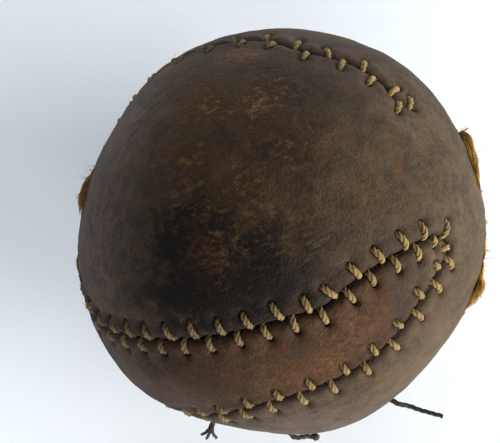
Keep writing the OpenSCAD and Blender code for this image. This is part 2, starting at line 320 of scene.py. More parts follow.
class Layout:
    """Where the seams, the stitches and the leather lie, in millimetres from the ball's centre."""

    GAP = 0.3
    SHOULDER = 1.15
    EYE_R = 2.0
    SLIT_MARGIN = 0.9
    UNDER_GAP = 0.1
    CROWN_PITCH = 5.6
    UPPER_PITCH = 4.2
    TIP_PITCH = 3.2
    LOWER_PITCH = 5.2
    BACK_PITCH = 5.2

    # No stitch pulls at the leather farther from a seam than this
    STITCH_ZONE = 9.0
    FAR = 1e3

    # Depth and width of the hollows in the leather
    SEAM_HOLLOW = (0.3, 3.6)
    STITCH_DENT = (0.3, 0.7)
    HOLE_DENT = (0.5, 0.75)
    PUCKER = (0.1, 2.4)
    PUCKER_AT = 4.2
    PUCKER_WIDTH = 1.6

    # The swollen lip beside a seam, which breaks at each stitch and is lower on the seam's right
    LIP_AT = 1.7
    LIP_WIDTH = 1.1
    LIP_BREAK = 1.3
    RIGHT_LIP = 0.85

    # The ball is round near its foot: degrees where its lumps begin and over which they grow
    LEVEL_FOOT = 14
    LEVEL_EDGE = 16

    def __init__(self, sizes):
        self.radius = sizes.diameter / 2 / MM
        self.inner = self.radius - sizes.leather / MM
        self.thread = sizes.thread / MM
        self.under = self.inner - self.thread / 2 - self.UNDER_GAP
        self.groove = sizes.groove / MM
        self.lip = sizes.lip / MM
        self.cover_reach = sizes.cover_reach / MM
        self.slant = sizes.slant / MM
        self.crown = Seam(CROWN_LINE, self.radius)
        self.petal = Seam(PETAL_LINE, self.radius)
        self.back = Seam(BACK_LINE, self.radius)
        self.seams = (self.crown, self.petal, self.back)
        self.rows = self.sew(sizes.petal_reach / MM, sizes.tip_reach / MM)
        self.eye = on_globe(*EYE)
        self.crossing = self.cross_eye()
        ends = (STIFF_TAIL, SHORT_TAIL, FORKED_TAIL[0], FRAYED_UPPER, FRAYED_LOWER, FRAYED_LEFT)
        tail_holes = np.array([on_globe(*route[0][:2]) for route in ends])
        self.starts = np.concatenate([holes for holes, _ in self.rows.values()])
        self.dives = np.concatenate([dives for _, dives in self.rows.values()])
        self.holes = np.concatenate((self.starts, self.crossing, tail_holes))

    def sew(self, petal_reach, tip_reach):
        """The rows of stitches, each under the name of the thread that sews it."""
        start = self.EYE_R + 1.5 * self.cover_reach
        tip = self.petal.run[PETAL_TIP * LINE_STEPS]
        tip_start, tip_end = tip - TIP_SPAN, tip + TIP_SPAN
        petal_end = self.petal.length - start
        last = self.SLIT_MARGIN + self.slant
        crown_end, back_end = self.crown.length - last, self.back.length - last
        reach, slant = self.cover_reach, self.slant
        table = (
            ("crown_seam_thread", self.crown, start, crown_end, self.CROWN_PITCH, reach, slant),
            ("petal_upper_thread", self.petal, start, tip_start, self.UPPER_PITCH, petal_reach, slant),
            ("petal_tip_thread", self.petal, tip_start, tip_end, self.TIP_PITCH, tip_reach, 0),
            ("petal_lower_thread", self.petal, tip_end, petal_end, self.LOWER_PITCH, petal_reach, 0),
            ("back_seam_thread", self.back, start, back_end, self.BACK_PITCH, reach, slant),
        )
        rows = {name: self.row(seed, *row) for seed, (name, *row) in enumerate(table, 1)}
        holes, dives = rows["crown_seam_thread"]
        closing = self.crown.length - self.SLIT_MARGIN
        rows["crown_seam_thread"] = (
            np.concatenate((holes, self.crown.beside(closing, reach))),
            np.concatenate((dives, self.crown.at(closing))),
        )
        return rows

    def row(self, seed, seam, start, end, pitch, right_reach, slant):
        """The holes of one row of stitches and the points where they dive into the seam."""
        draw = np.random.default_rng(seed)
        count = max(1, int((end - start) / pitch))
        step = (end - start) / count
        s = start + step * (np.arange(2 * count) / 2 + 0.25)
        is_left = np.arange(2 * count) % 2 == 0
        stray = draw.uniform(-1, 1, (3, 2 * count))
        reach = np.where(is_left, self.cover_reach, -right_reach) * (1 + 0.07 * stray[0])
        holes = seam.beside(s + 0.25 * stray[1], reach)
        dives = seam.at(s + np.where(is_left, slant, 0) + 0.2 * stray[2])
        return holes, dives

    def cross_eye(self):
        """The holes of the stitches that cross the eye, in pairs."""
        east = unit(np.cross((0, 0, 1), self.eye))
        north = np.cross(self.eye, east)
        throw = (self.EYE_R + 0.8 * self.cover_reach) / self.radius
        return np.array([
            unit(self.eye + (math.cos(a) * north + math.sin(a) * east) * throw)
            for bearing in CROSSING_BEARINGS
            for a in (math.radians(bearing), math.radians(bearing + 180))
        ])

    def lumps(self, u):
        """How far the ball is out of round along u."""
        total = 0.35 * ripple(u, 2.1, 3.7)
        for lump in LUMPS:
            total = total + spot(u, *lump)
        return total * ease((degrees_from(u, FOOT) - self.LEVEL_FOOT) / self.LEVEL_EDGE)

    def to_stitches(self, u, away):
        """Distance from each point to the nearest stitch, for points that aren't far from a seam."""
        close = away < self.STITCH_ZONE
        points = u[close] * self.radius
        starts = self.starts * self.radius
        spans = self.dives * self.radius - starts
        nearest = np.full(len(points), self.FAR)
        for start, span in zip(starts, spans):
            offset = points - start
            t = np.clip(offset @ span / (span @ span), 0, 1)
            nearest = np.minimum(nearest, np.linalg.norm(offset - t[:, None] * span, axis=1))
        distance = np.full(len(u), self.FAR)
        distance[close] = nearest
        return distance

    def to_places(self, u, places):
        """Distance from each point to the nearest of the places, and which one that is."""
        pick = np.argmax(u @ places.T, axis=1)
        return np.linalg.norm(u - places[pick], axis=1) * self.radius, pick

    def leather(self, u, near):
        """Radius of the leather's outer face along u, from what lies near."""
        stitch = self.to_stitches(u, near.away)
        hole, _ = self.to_places(u, self.holes)
        shoulder = np.clip(1 - near.away / self.SHOULDER, 0, 1)
        tension = np.where(near.left > 0, 1.0, self.RIGHT_LIP)
        lip = self.lip * tension * (1 - hill(stitch, self.LIP_BREAK))
        r = self.radius + self.lumps(u)
        r -= self.groove * (1 - np.sqrt(1 - shoulder**2))
        r += lip * hill(near.away - self.LIP_AT, self.LIP_WIDTH)
        r -= bell(near.away, *self.SEAM_HOLLOW)
        r -= bell(stitch, *self.STITCH_DENT)
        r -= bell(hole, *self.HOLE_DENT)
        r -= bell(stitch, *self.PUCKER) * hill(near.away - self.PUCKER_AT, self.PUCKER_WIDTH)
        return r

    def surface(self, u):
        return self.leather(u, Near(self.seams, u))


def settings(context):
    """The layout for the sizes that are set, and the colours."""
    return Layout(context.scene.ball_sizes), context.scene.ball_colours


# Meshes and curves


def deselect():
    if bpy.context.object and bpy.context.object.mode != "OBJECT":
        bpy.ops.object.mode_set(mode="OBJECT")
    bpy.ops.object.select_all(action="DESELECT")


def activate(obj):
    deselect()
    obj.select_set(True)
    bpy.context.view_layer.objects.active = obj


def smooth(obj):
    activate(obj)
    bpy.ops.object.shade_smooth()


def read(collection, key, width, kind=float):
    values = np.empty(len(collection) * width, np.float32 if kind is float else np.int32)
    collection.foreach_get(key, values)
    values = values.astype(kind)
    return values.reshape(-1, width) if width > 1 else values


def points_of(obj):
    """The mesh's points in millimetres."""
    return read(obj.data.vertices, "co", 3) / MM


def set_points(obj, points):
    obj.data.vertices.foreach_set("co", (points * MM).astype(np.float32).ravel())
    obj.data.update()


def triangles(obj, key="vertex_index"):
    return read(obj.data.loops, key, 1, int).reshape(-1, 3)


def tally(corners, values, size):
    """For each point or edge, the sum of the values of the triangles that have it."""
    total = np.zeros(size)
    np.add.at(total, corners.ravel(), np.repeat(values, 3))
    return total


def keep(obj, name, values):
    attribute = obj.data.attributes.get(name) or obj.data.attributes.new(name, "FLOAT", "POINT")
    attribute.data.foreach_set("value", values.astype(np.float32))


def kept(obj, name):
    return read(obj.data.attributes[name].data, "value", 1)


def select(obj, mode, mask):
    """Opens the mesh for editing with only the marked points, edges or faces selected."""
    activate(obj)
    parts = {"VERT": obj.data.vertices, "EDGE": obj.data.edges, "FACE": obj.data.polygons}
    for part in parts.values():
        part.foreach_set("select", np.zeros(len(part), bool))
    parts[mode].foreach_set("select", mask)
    bpy.ops.object.mode_set(mode="EDIT")
    bpy.ops.mesh.select_mode(type=mode)


def close_editing():
    bpy.ops.object.mode_set(mode="OBJECT")


def make_triangles():
    bpy.ops.mesh.select_all(action="SELECT")
    bpy.ops.mesh.quads_convert_to_tris()
    close_editing()


def add_globe(name, radius, level):
    deselect()
    bpy.ops.mesh.primitive_ico_sphere_add(subdivisions=level, radius=radius * MM)
    obj = bpy.context.object
    obj.name = name
    obj.data.name = name
    return obj


def refine(obj, mask):
    """Halves the edges between the marked points."""
    select(obj, "VERT", mask)
    bpy.ops.mesh.subdivide(number_cuts=1)
    make_triangles()


def solidify(obj, thickness):
    """Gives the mesh an inner wall at that depth in millimetres."""
    activate(obj)
    solid = obj.modifiers.new("thickness", "SOLIDIFY")
    solid.thickness = thickness * MM
    solid.offset = -1
    bpy.ops.object.modifier_apply(modifier=solid.name)


def add_strands(name, paths, radii, resolution=1):
    """Round strands along the paths, each with a radius or one for each of its points."""
    deselect()
    curve = bpy.data.curves.new(name, "CURVE")
    curve.dimensions = "3D"
    curve.bevel_depth = MM
    curve.bevel_resolution = resolution
    curve.use_fill_caps = True
    for path, radius in zip(paths, radii):
        line = curve.splines.new("POLY")
        line.points.add(len(path) - 1)
        corners = np.ones((len(path), 4))
        corners[:, :3] = path * MM
        line.points.foreach_set("co", corners.ravel())
        line.points.foreach_set("radius", np.broadcast_to(radius, len(path)).astype(float))
    obj = bpy.data.objects.new(name, curve)
    bpy.context.scene.collection.objects.link(obj)
    activate(obj)
    bpy.ops.object.convert(target="MESH")
    obj = bpy.context.object
    smooth(obj)
    return obj


def join(first, *others):
    activate(first)
    for other in others:
        other.select_set(True)
    bpy.ops.object.join()
    return first


def frames(path):
    """Two directions square to the path at each of its points, with no twist between them."""
    aslant = (0.3, 0.5, 0.8)
    along = unit(np.gradient(path, axis=0))
    side = np.empty_like(path)
    side[0] = unit(np.cross(along[0], aslant))
    for i in range(1, len(path)):
        side[i] = unit(side[i - 1] - along[i] * (side[i - 1] @ along[i]))
    return side, np.cross(along, side)


def plies(path, throw, pitch):
    """Paths of the three plies that twist together along a thread."""
    side, other = frames(path)
    angle = run_along(path) / pitch * 2 * math.pi
    return [
        path + throw * (np.cos(angle + a)[:, None] * side + np.sin(angle + a)[:, None] * other)
        for a in 2 * math.pi * np.arange(3) / 3
    ]


def finish_piece(obj, node, material):
    obj.data.materials.clear()
    obj.data.materials.append(material)
    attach(obj, "root")
    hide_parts(node)


# Materials


class Socket:
    """A shader value; sums and products of it add Math nodes."""

    def __init__(self, wires, socket):
        self.wires = wires
        self.socket = socket

    def math(self, operation, a, b):
        return self.wires.node("ShaderNodeMath", {"operation": operation}, {0: a, 1: b})

    def __add__(self, other):
        return self.math("ADD", self, other)

    def __radd__(self, other):
        return self.math("ADD", other, self)

    def __sub__(self, other):
        return self.math("SUBTRACT", self, other)

    def __rsub__(self, other):
        return self.math("SUBTRACT", other, self)

    def __mul__(self, other):
        return self.math("MULTIPLY", self, other)

    def __rmul__(self, other):
        return self.math("MULTIPLY", other, self)


class Wires:
    """The nodes of one material."""

    def __init__(self, name):
        self.material = bpy.data.materials.new(name)
        self.material.use_nodes = True
        self.tree = self.material.node_tree
        self.tree.nodes.clear()

    def node(self, kind, settings, inputs, output=0):
        node = self.tree.nodes.new(kind)
        for key, value in settings.items():
            setattr(node, key, value)
        for key, value in inputs.items():
            if isinstance(value, Socket):
                self.tree.links.new(value.socket, node.inputs[key])
            else:
                node.inputs[key].default_value = value
        return Socket(self, node.outputs[output]) if node.outputs else None

    def place(self):
        """Object coordinates in millimetres."""
        where = self.node("ShaderNodeTexCoord", {}, {}, "Object")
        return self.node("ShaderNodeVectorMath", {"operation": "SCALE"}, {0: where, "Scale": 1 / MM})

    def along(self, where, axis):
        return self.node("ShaderNodeSeparateXYZ", {}, {0: where}, axis)

    def stretched(self, where, length, turn):
        """The place with patterns drawn out along a level line at that angle."""
        return self.node(
            "ShaderNodeMapping", {"vector_type": "TEXTURE"},
            {"Vector": where, "Scale": (length, 1, 1), "Rotation": (0, 0, turn)},
        )

    def noise(self, where, scale, detail, rough=0.55, distort=0.0):
        inputs = {"Vector": where, "Scale": scale, "Detail": detail}
        inputs |= {"Roughness": rough, "Distortion": distort}
        return self.node("ShaderNodeTexNoise", {}, inputs)

    def cells(self, where, scale):
        return self.node("ShaderNodeTexVoronoi", {}, {"Vector": where, "Scale": scale}, "Distance")

    def band(self, value, low, high):
        """0 up to low, 1 from high on and smooth between them."""
        return self.node(
            "ShaderNodeMapRange", {"interpolation_type": "SMOOTHSTEP"},
            {"Value": value, "From Min": low, "From Max": high},
        )

    def lines(self, where, scale):
        """Thin winding lines, 1 on them and 0 beside them."""
        level = self.noise(where, scale, 3) - 0.5
        return self.band(level * level, 0.0003, 0)

    def attribute(self, name):
        return self.node("ShaderNodeAttribute", {"attribute_name": name}, {}, "Fac")

    def mix(self, a, b, factor):
        """Two colours mixed; a Mix node's colours are its inputs 6 and 7 and its output 2."""
        inputs = {"Factor": factor, 6: self.opaque(a), 7: self.opaque(b)}
        return self.node("ShaderNodeMix", {"data_type": "RGBA"}, inputs, 2)

    def opaque(self, value):
        return value if isinstance(value, Socket) else (*value, 1)

    def bump(self, height, strength, distance):
        inputs = {"Height": height, "Strength": strength, "Distance": distance * MM}
        return self.node("ShaderNodeBump", {}, inputs)

    def surface(self, **inputs):
        words = {key.replace("_", " ").title(): value for key, value in inputs.items()}
        words = {key.replace("Ior", "IOR"): value for key, value in words.items()}
        shader = self.node("ShaderNodeBsdfPrincipled", {}, words)
        self.node("ShaderNodeOutputMaterial", {}, {"Surface": shader})
        return self.material


def leather_material(name, colours, base, worn):
    """Old dry leather: blotches, scrapes, golden flecks, rust, bloom that is partly painted sheen, a
    painted cool sheen on the left and near sides, stains, grain, and seams darkened by grime and painted
    shade.
    """
    w = Wires(name)
    where = w.place()
    blotch = w.band(w.noise(where, 0.07, 4), 0.36, 0.68)
    mottle = w.band(w.noise(where, 0.3, 6, 0.68), 0.38, 0.66)
    patina = w.band(w.noise(where, 1.1, 6, 0.72), 0.36, 0.66)
    cluster = w.band(w.noise(where, 0.22, 5, 0.62), 0.40, 0.60)
    scrape = w.band(w.noise(w.stretched(where, 6, 0.6), 1.2, 5, 0.65), 0.45, 0.66)
    fleck = w.band(w.noise(w.stretched(where, 1.7, 0.2), 1.15, 7, 0.76), 0.49, 0.64)
    spotted = w.band(w.noise(w.stretched(where, 1.6, 0.4), 1.6, 6, 0.7), 0.40, 0.62)
    scratched = w.band(w.noise(where, 0.16, 3), 0.48, 0.66)
    long_scratch = w.lines(w.stretched(where, 9, 0.55), 0.5)
    cross_scratch = w.lines(w.stretched(where, 7, -0.7), 0.4)
    scratch = scratched * (long_scratch + 0.6 * cross_scratch)
    colour = w.mix(base, worn, 0.34 * blotch + 0.38 * mottle + 0.24 * patina)
    # Dust and painted sheen, turning to a painted cool sheen on the ball's left and near sides
    dust_and_sheen = w.attribute("bloom") * (0.2 + 0.45 * mottle + 0.24 * patina + 0.26 * scrape)
    # Where the painted cool sheen takes over: the ball's left and near sides
    cool_sheen_side = w.band(w.along(where, "X"), -8, -28) + w.band(w.along(where, "Y"), -24, -34)
    colour = w.mix(colour, w.mix(colours.bloom, colours.painted_cool_sheen, cool_sheen_side), dust_and_sheen)
    scuffed = w.attribute("scuff")
    colour = w.mix(colour, colours.russet, scuffed * (0.25 + 0.55 * cluster))
    blackened = w.attribute("stain") * (1.15 - 0.45 * mottle - 0.15 * patina)
    colour = w.mix(colour, colours.stain, blackened)
    flecked = scuffed * fleck * (0.1 + 0.9 * cluster)
    colour = w.mix(colour, colours.scuff, flecked)
    colour = w.mix(colour, worn, 0.5 * scratch)
    colour = w.mix(colour, colours.rust, w.attribute("rust") * spotted)
    # Grime with painted shade darkens the seams, the holes and the leather round the stitches
    colour = w.mix(colour, colours.grime, w.attribute("seam_grime_and_shade"))
    grain = w.cells(where, 2.3)
    pores = w.noise(where, 5.0, 3)
    crease = w.noise(w.stretched(where, 2.5, 0.25), 1.2, 7, 0.6, 0.4)
    height = 0.75 * grain + 0.3 * pores + 0.85 * crease - 0.5 * scratch
    return w.surface(
        base_color=colour,
        roughness=0.64 + 0.18 * mottle - 0.08 * flecked,
        normal=w.bump(height, 0.45, 0.26),
        specular_ior_level=0.1,
    )


def thread_material(name, colours, base, dirt):
    """Thread or yarn with fine fibres, dirt in patches, and darker towards the ball's left."""
    w = Wires(name)
    where = w.place()
    patch = w.band(w.noise(where, 0.35, 5), 0.35, 0.7)
    fibre = w.noise(where, 7.0, 4)
    dark = w.band(w.noise(where, 1.6, 4), 0.45, 0.75)
    pale = tuple(min(1, 1.35 * c) for c in base)
    colour = w.mix(base, pale, w.band(fibre, 0.35, 0.7))
    # The thread gets darker towards the ball's left
    towards_left = w.band(w.along(where, "X"), 26, -22)
    colour = w.mix(colour, colours.grime, dirt * (0.3 * patch + 0.4 * dark + 0.64 * towards_left))
    colour = w.mix(colour, colours.grime, 0.75 * w.attribute("grimy"))
    return w.surface(
        base_color=colour,
        roughness=0.7 + 0.15 * patch,
        normal=w.bump(fibre, 0.5, 0.12),
        specular_ior_level=0.3,
        sheen_weight=0.1,
    )


def rubber_material(name, colours):
    """Old rubber with a chalky bloom."""
    w = Wires(name)
    where = w.place()
    bloom = w.band(w.noise(where, 0.4, 6), 0.4, 0.75)
    pores = w.noise(where, 3.0, 5)
    chalky = tuple(3 * c for c in colours.rubber)
    return w.surface(
        base_color=w.mix(colours.rubber, chalky, 0.5 * bloom),
        roughness=0.6 + 0.25 * bloom,
        normal=w.bump(pores, 0.3, 0.2),
    )


def floor_material(name, colours):
    """Plain pale cloth with a fine even weave."""
    w = Wires(name)
    where = w.place()
    tone = w.noise(where, 0.02, 3)
    weave = w.noise(where, 1.5, 2)
    shade = tuple(0.93 * c for c in colours.floor)
    return w.surface(
        base_color=w.mix(shade, colours.floor, tone),
        roughness=0.9 + 0.05 * tone,
        normal=w.bump(weave, 0.15, 0.2),
    )


# Pieces


class BALL_OT_leather(bpy.types.Operator):
    """Cuts the peel cover and the inset petal from one worn leather globe"""

    bl_idname = "ball.leather"
    bl_label = "Leather"

    LEVEL = 7
    BAND = 3.6
    ON_LINE = 1.0
    DRAW_IN = 4.0
    HOLE_R = 0.55
    HOLE_CUT = 0.72
    EYE_OPEN = 1.3
    CRUMB = 60
    LEAST_WALL = 0.45
    INNER_SHARE = 0.12
    TINY = 1e-9

    # How far a seam opens where a stitch dives in, and the width of that opening
    DIVE_OPENING = (0.3, 0.6)

    # Strength and width of the grime and painted shade along seams, holes and stitches
    SEAM_GRIME_AND_SHADE = (0.75, 0.7)
    HOLE_GRIME_AND_SHADE = (0.65, 0.9)
    STITCH_GRIME_AND_SHADE = (0.3, 1.0)

    def execute(self, context):
        layout, colours = settings(context)
        globe = add_globe("cover_leather", layout.radius, self.LEVEL)
        near = Near(layout.seams, unit(points_of(globe)))
        refine(globe, near.away < self.BAND)
        self.settle_on_seams(globe, layout)
        self.pierce(globe, layout)
        self.part_seams(globe, layout)
        self.wear(globe, layout)
        cover, petal = self.separate(globe)
        for obj, marks in ((cover, COVER_MARKS), (petal, PETAL_MARKS)):
            self.mark(obj, marks)
            self.thicken(obj, layout)
        worn_cover = leather_material("worn_cover", colours, colours.cover, colours.cover_worn)
        finish_piece(cover, "peel_cover", worn_cover)
        worn_petal = leather_material("worn_petal", colours, colours.petal, colours.petal_worn)
        finish_piece(petal, "inset_petal", worn_petal)
        return {"FINISHED"}

    def settle_on_seams(self, globe, layout):
        """Moves the nearest points on to the seam lines and draws the rest closer to them."""
        u = unit(points_of(globe))
        near = Near(layout.seams, u)
        a, b = read(globe.data.edges, "vertices", 2, int).T
        near_line = (np.abs(near.left) < self.ON_LINE) & near.within
        one_seam = near_line[a] & near_line[b] & (near.seam[a] == near.seam[b])
        crossing = one_seam & (near.left[a] * near.left[b] < 0)
        closer = np.where(np.abs(near.left[a]) < np.abs(near.left[b]), a, b)[crossing]
        on_line = np.zeros(len(u), bool)
        on_line[closer] = True
        for i, seam in enumerate(layout.seams):
            mine = on_line & (near.seam == i)
            u[mine] = seam.at(near.along[mine])
        left = np.where(on_line, 0, near.left)
        share = np.clip(np.abs(left) / self.DRAW_IN, 0, 1)
        drawn = self.DRAW_IN * share**1.5 - np.abs(left)
        drawn *= (share < 1) * (1 - ease(near.past / 2))
        u = unit(u + near.across * (np.sign(left) * drawn)[:, None] / layout.radius)
        set_points(globe, u * layout.radius)
        keep(globe, "on_line", on_line)
        keep(globe, "side", np.sign(left) * (near.away < self.BAND))

    def pierce(self, globe, layout):
        """Opens the awl holes and the eye."""
        u = unit(points_of(globe))
        faces = triangles(globe)
        middles = unit(u[faces].mean(axis=1))
        hole, _ = layout.to_places(middles, layout.holes)
        eye = np.linalg.norm(middles - layout.eye, axis=1) * layout.radius
        cut = (hole < self.HOLE_CUT * self.HOLE_R) | (eye < self.EYE_OPEN)
        rim = np.zeros(len(u), bool)
        rim[faces[cut]] = True
        distance, pick = layout.to_places(u, layout.holes)
        rim &= distance < 2 * self.HOLE_R
        spoke = unit(u - layout.holes[pick] + self.TINY)
        round_rim = unit(layout.holes[pick] + spoke * self.HOLE_R / layout.radius)
        u[rim] = round_rim[rim]
        set_points(globe, u * layout.radius)
        select(globe, "FACE", cut)
        bpy.ops.mesh.delete(type="FACE")
        close_editing()

    def part_seams(self, globe, layout):
        """Splits the leather along the seam lines and opens a narrow gap."""
        on_line = kept(globe, "on_line") > 0.5
        label = np.sign(kept(globe, "side")[triangles(globe)].sum(axis=1))
        face_edges = triangles(globe, "edge_index")
        ends = read(globe.data.edges, "vertices", 2, int)
        total = tally(face_edges, label, len(ends))
        size = tally(face_edges, np.abs(label), len(ends))
        select(globe, "EDGE", on_line[ends].all(axis=1) & (total == 0) & (size == 2))
        bpy.ops.mesh.edge_split(type="EDGE")
        close_editing()
        u = unit(points_of(globe))
        faces = triangles(globe)
        label = np.sign(kept(globe, "side")[faces].sum(axis=1))
        pull = tally(faces, label, len(u))
        count = tally(faces, np.abs(label), len(u))
        parted = (kept(globe, "on_line") > 0.5) & (np.abs(pull) == count) & (count > 0)
        near = Near(layout.seams, u)
        dive, _ = layout.to_places(u, layout.dives)
        opening = layout.GAP / 2 + bell(dive, *self.DIVE_OPENING)
        shift = np.where(parted, np.sign(pull) * opening, 0)
        u = unit(u + near.across * shift[:, None] / layout.radius)
        set_points(globe, u * layout.radius)
        for name in ("side", "on_line"):
            globe.data.attributes.remove(globe.data.attributes[name])

    def wear(self, globe, layout):
        """Gives the leather its worn shape and keeps the stain and the grime with painted shade along its
        seams.
        """
        u = unit(points_of(globe))
        near = Near(layout.seams, u)
        r = layout.leather(u, near)
        calm = 1 - 0.7 * hill(near.away, 2.0)
        r += calm * (0.09 * ripple(u, 9.0) + 0.05 * ripple(u, 24.0, 5.0))
        points = u * r[:, None]
        points[:, 2] = np.maximum(points[:, 2], cover_low.z / MM)
        set_points(globe, points)
        hole, _ = layout.to_places(u, layout.holes)
        stitch = layout.to_stitches(u, near.away)
        # Grime with painted shade in the seam grooves, in the holes and round the stitches
        dirt = np.maximum(bell(near.away, *self.SEAM_GRIME_AND_SHADE), bell(hole, *self.HOLE_GRIME_AND_SHADE))
        keep(globe, "seam_grime_and_shade", np.maximum(dirt, bell(stitch, *self.STITCH_GRIME_AND_SHADE)))
        by_petal = (near.seam == layout.seams.index(layout.petal)) & (near.left > 0)
        fading = 1 - ease((near.along - 40) / 20)
        keep(globe, "stain", 0.7 * by_petal * fading * hill(near.left - 1.8, 2.0))

    def mark(self, obj, marks):
        """Keeps where the leather is scuffed, rusty, dusty and blackened."""
        u = unit(points_of(obj))
        for name, places in marks.items():
            total = kept(obj, name) if name in obj.data.attributes else np.zeros(len(u))
            for place in places:
                total = np.maximum(total, spot(u, *place))
            keep(obj, name, total)

    def separate(self, globe):
        """Parts the petal from the cover; the two are joined by nothing but thread."""
        activate(globe)
        before = set(bpy.data.objects)
        bpy.ops.object.mode_set(mode="EDIT")
        bpy.ops.mesh.select_all(action="SELECT")
        bpy.ops.mesh.separate(type="LOOSE")
        close_editing()
        islands = [globe, *(set(bpy.data.objects) - before)]
        islands.sort(key=lambda obj: -len(obj.data.vertices))
        if len(islands) < 2:
            raise RuntimeError("the petal is still joined to the cover")
        cover, petal, *crumbs = islands
        for crumb in crumbs:
            if len(crumb.data.vertices) > self.CRUMB:
                raise RuntimeError("the leather came apart in too many pieces")
            bpy.data.objects.remove(crumb)
        cover.name = "cover_leather"
        petal.name = "petal_leather"
        return cover, petal

    def thicken(self, obj, layout):
        """Gives the leather its inner face, which is plainer than the outer one."""
        outer = points_of(obj)
        count = len(outer)
        solidify(obj, layout.radius - layout.inner)
        points = points_of(obj)
        if len(points) != 2 * count:
            raise RuntimeError("the leather's inner face doesn't match its outer one")
        r = np.linalg.norm(outer, axis=1)
        inner = np.minimum(layout.inner + layout.lumps(unit(outer)), r - self.LEAST_WALL)
        points[count:] = outer * (inner / r)[:, None]
        set_points(obj, points)
        select(obj, "VERT", np.arange(len(points)) >= count)
        bpy.ops.mesh.select_less()
        bpy.ops.mesh.decimate(ratio=self.INNER_SHARE)
        make_triangles()
        smooth(obj)


class BALL_OT_seam_threads(bpy.types.Operator):
    """Sews the seams with twisted thread and crosses it over the eye"""

    bl_idname = "ball.seam_threads"
    bl_label = "Seam threads"

    PIECES = (
        ("crown_stitching", "crown_seam_thread"), ("petal_upper_stitching", "petal_upper_thread"),
        ("petal_tip_stitching", "petal_tip_thread"), ("petal_lower_stitching", "petal_lower_thread"),
        ("back_stitching", "back_seam_thread"),
    )
    FIRST_SEED = 20
    EYE_SEED = 30
    STEP = 0.32
    TWIST = 2.4

    # A stitch's points as shares of its way from hole to seam, and their lift in thread thicknesses
    SHARES = np.array((0.0, 0.16, 0.5, 0.82, 1.0))
    LIFT = np.array((-0.35, 0.26, 0.36, 0.22, -0.5))

    # Radius of a loose fibre from its root to its tip
    FIBRE = np.array((0.035, 0.03, 0.025, 0.01))

    def execute(self, context):
        layout, colours = settings(context)
        material = thread_material("sewing_thread", colours, colours.thread, 0.85)
        for seed, (name, node) in enumerate(self.PIECES, self.FIRST_SEED):
            obj = self.twisted(name, self.sewn(layout, *layout.rows[node]), seed, layout)
            finish_piece(obj, node, material)
        obj = self.twisted("eye_stitching", self.crossed(layout), self.EYE_SEED, layout)
        finish_piece(obj, "crossing_stitches", material)
        return {"FINISHED"}

    def sewn(self, layout, holes, dives):
        """Path of the thread: up through each hole, over to the seam, down and on under the leather."""
        over = unit(holes[:, None] + (dives - holes)[:, None] * self.SHARES[:, None])
        r = layout.surface(over.reshape(-1, 3)).reshape(over.shape[:2])
        r[:, -1] = np.maximum(r[:, -1], layout.radius - layout.groove)
        over = over * (r + self.LIFT * layout.thread)[:, :, None]
        low = layout.under
        path = np.concatenate((holes[:, None] * low, over, dives[:, None] * low), axis=1)
        return even(spline(path.reshape(-1, 3), 5), self.STEP)

    def crossed(self, layout):
        """Path of the thread that crosses the eye twice."""
        path = []
        low = layout.under
        for layer in (0, 1):
            a, b = layout.crossing[2 * layer : 2 * layer + 2]
            top = layout.radius + (0.25 + layer) * layout.thread
            rise_a, rise_b = layout.surface(np.array((a, b))) + 0.2
            path += [a * low, a * rise_a, layout.eye * top, b * rise_b, b * low]
        return even(spline(path, 6), self.STEP)

    def twisted(self, name, path, seed, layout):
        strands = plies(path, 0.25 * layout.thread, self.TWIST)
        thread = add_strands(name, strands, [0.275 * layout.thread] * len(strands))
        return join(thread, self.fuzz(name + "_fuzz", path, np.random.default_rng(seed), layout))

    def fuzz(self, name, path, draw, layout):
        """Fine loose fibres on the thread where it shows."""
        side, other = frames(path)
        shown = np.flatnonzero(np.linalg.norm(path, axis=1) > layout.radius - 0.4)
        t = np.linspace(0, 1, len(self.FIBRE))[:, None]
        hairs = []
        for i in draw.choice(shown, size=len(shown) // 2, replace=False):
            angle = draw.uniform(0, 2 * math.pi)
            out = math.cos(angle) * side[i] + math.sin(angle) * other[i]
            lean = unit(draw.normal(0, 1, 3))
            half = 0.5 * draw.uniform(0.4, 1.3)
            hairs.append(path[i] + out * (0.4 * layout.thread + half * t) + lean * (half * t**2))
        return add_strands(name, hairs, [self.FIBRE] * len(hairs), 0)


class BALL_OT_waxed_tails(bpy.types.Operator):
    """Twists the three dark thread ends on the ball's near side"""

    bl_idname = "ball.waxed_tails"
    bl_label = "Waxed tails"

    # Each with its routes, its thickness and how far it swells to a knot
    PIECES = (
        ("stiff_tail_strands", "stiff_tail", (STIFF_TAIL,), 0.95, 0.0),
        ("short_tail_strands", "short_tail", (SHORT_TAIL,), 0.95, 1.2),
        ("forked_tail_strands", "forked_tail", FORKED_TAIL, 0.7, 0.0),
    )
    STEP = 0.25
    TWIST = 3.4

    def execute(self, context):
        layout, colours = settings(context)
        material = thread_material("waxed_tail_thread", colours, colours.tail, 0.4)
        for name, node, routes, thickness, knot in self.PIECES:
            strands, radii = [], []
            for route in routes:
                path = even(self.path(layout, route), self.STEP)
                share = np.linspace(0, 1, len(path))
                girth = 1 - 0.3 * ease(share) + knot * hill(share - 0.92, 0.07)
                strands += plies(path, 0.22 * thickness, self.TWIST)
                radii += [0.28 * thickness * girth] * 3
            finish_piece(add_strands(name, strands, radii), node, material)
        return {"FINISHED"}

    def path(self, layout, route):
        """Path of a loose end over the worn leather, which leaves its hole at a slant."""
        route = (route[0], *route[2:])
        u = np.array([on_globe(lon, lat) for lon, lat, _ in route])
        rise = np.array([height for _, _, height in route])
        return spline(u * (layout.radius + layout.lumps(u) + rise)[:, None], 6)


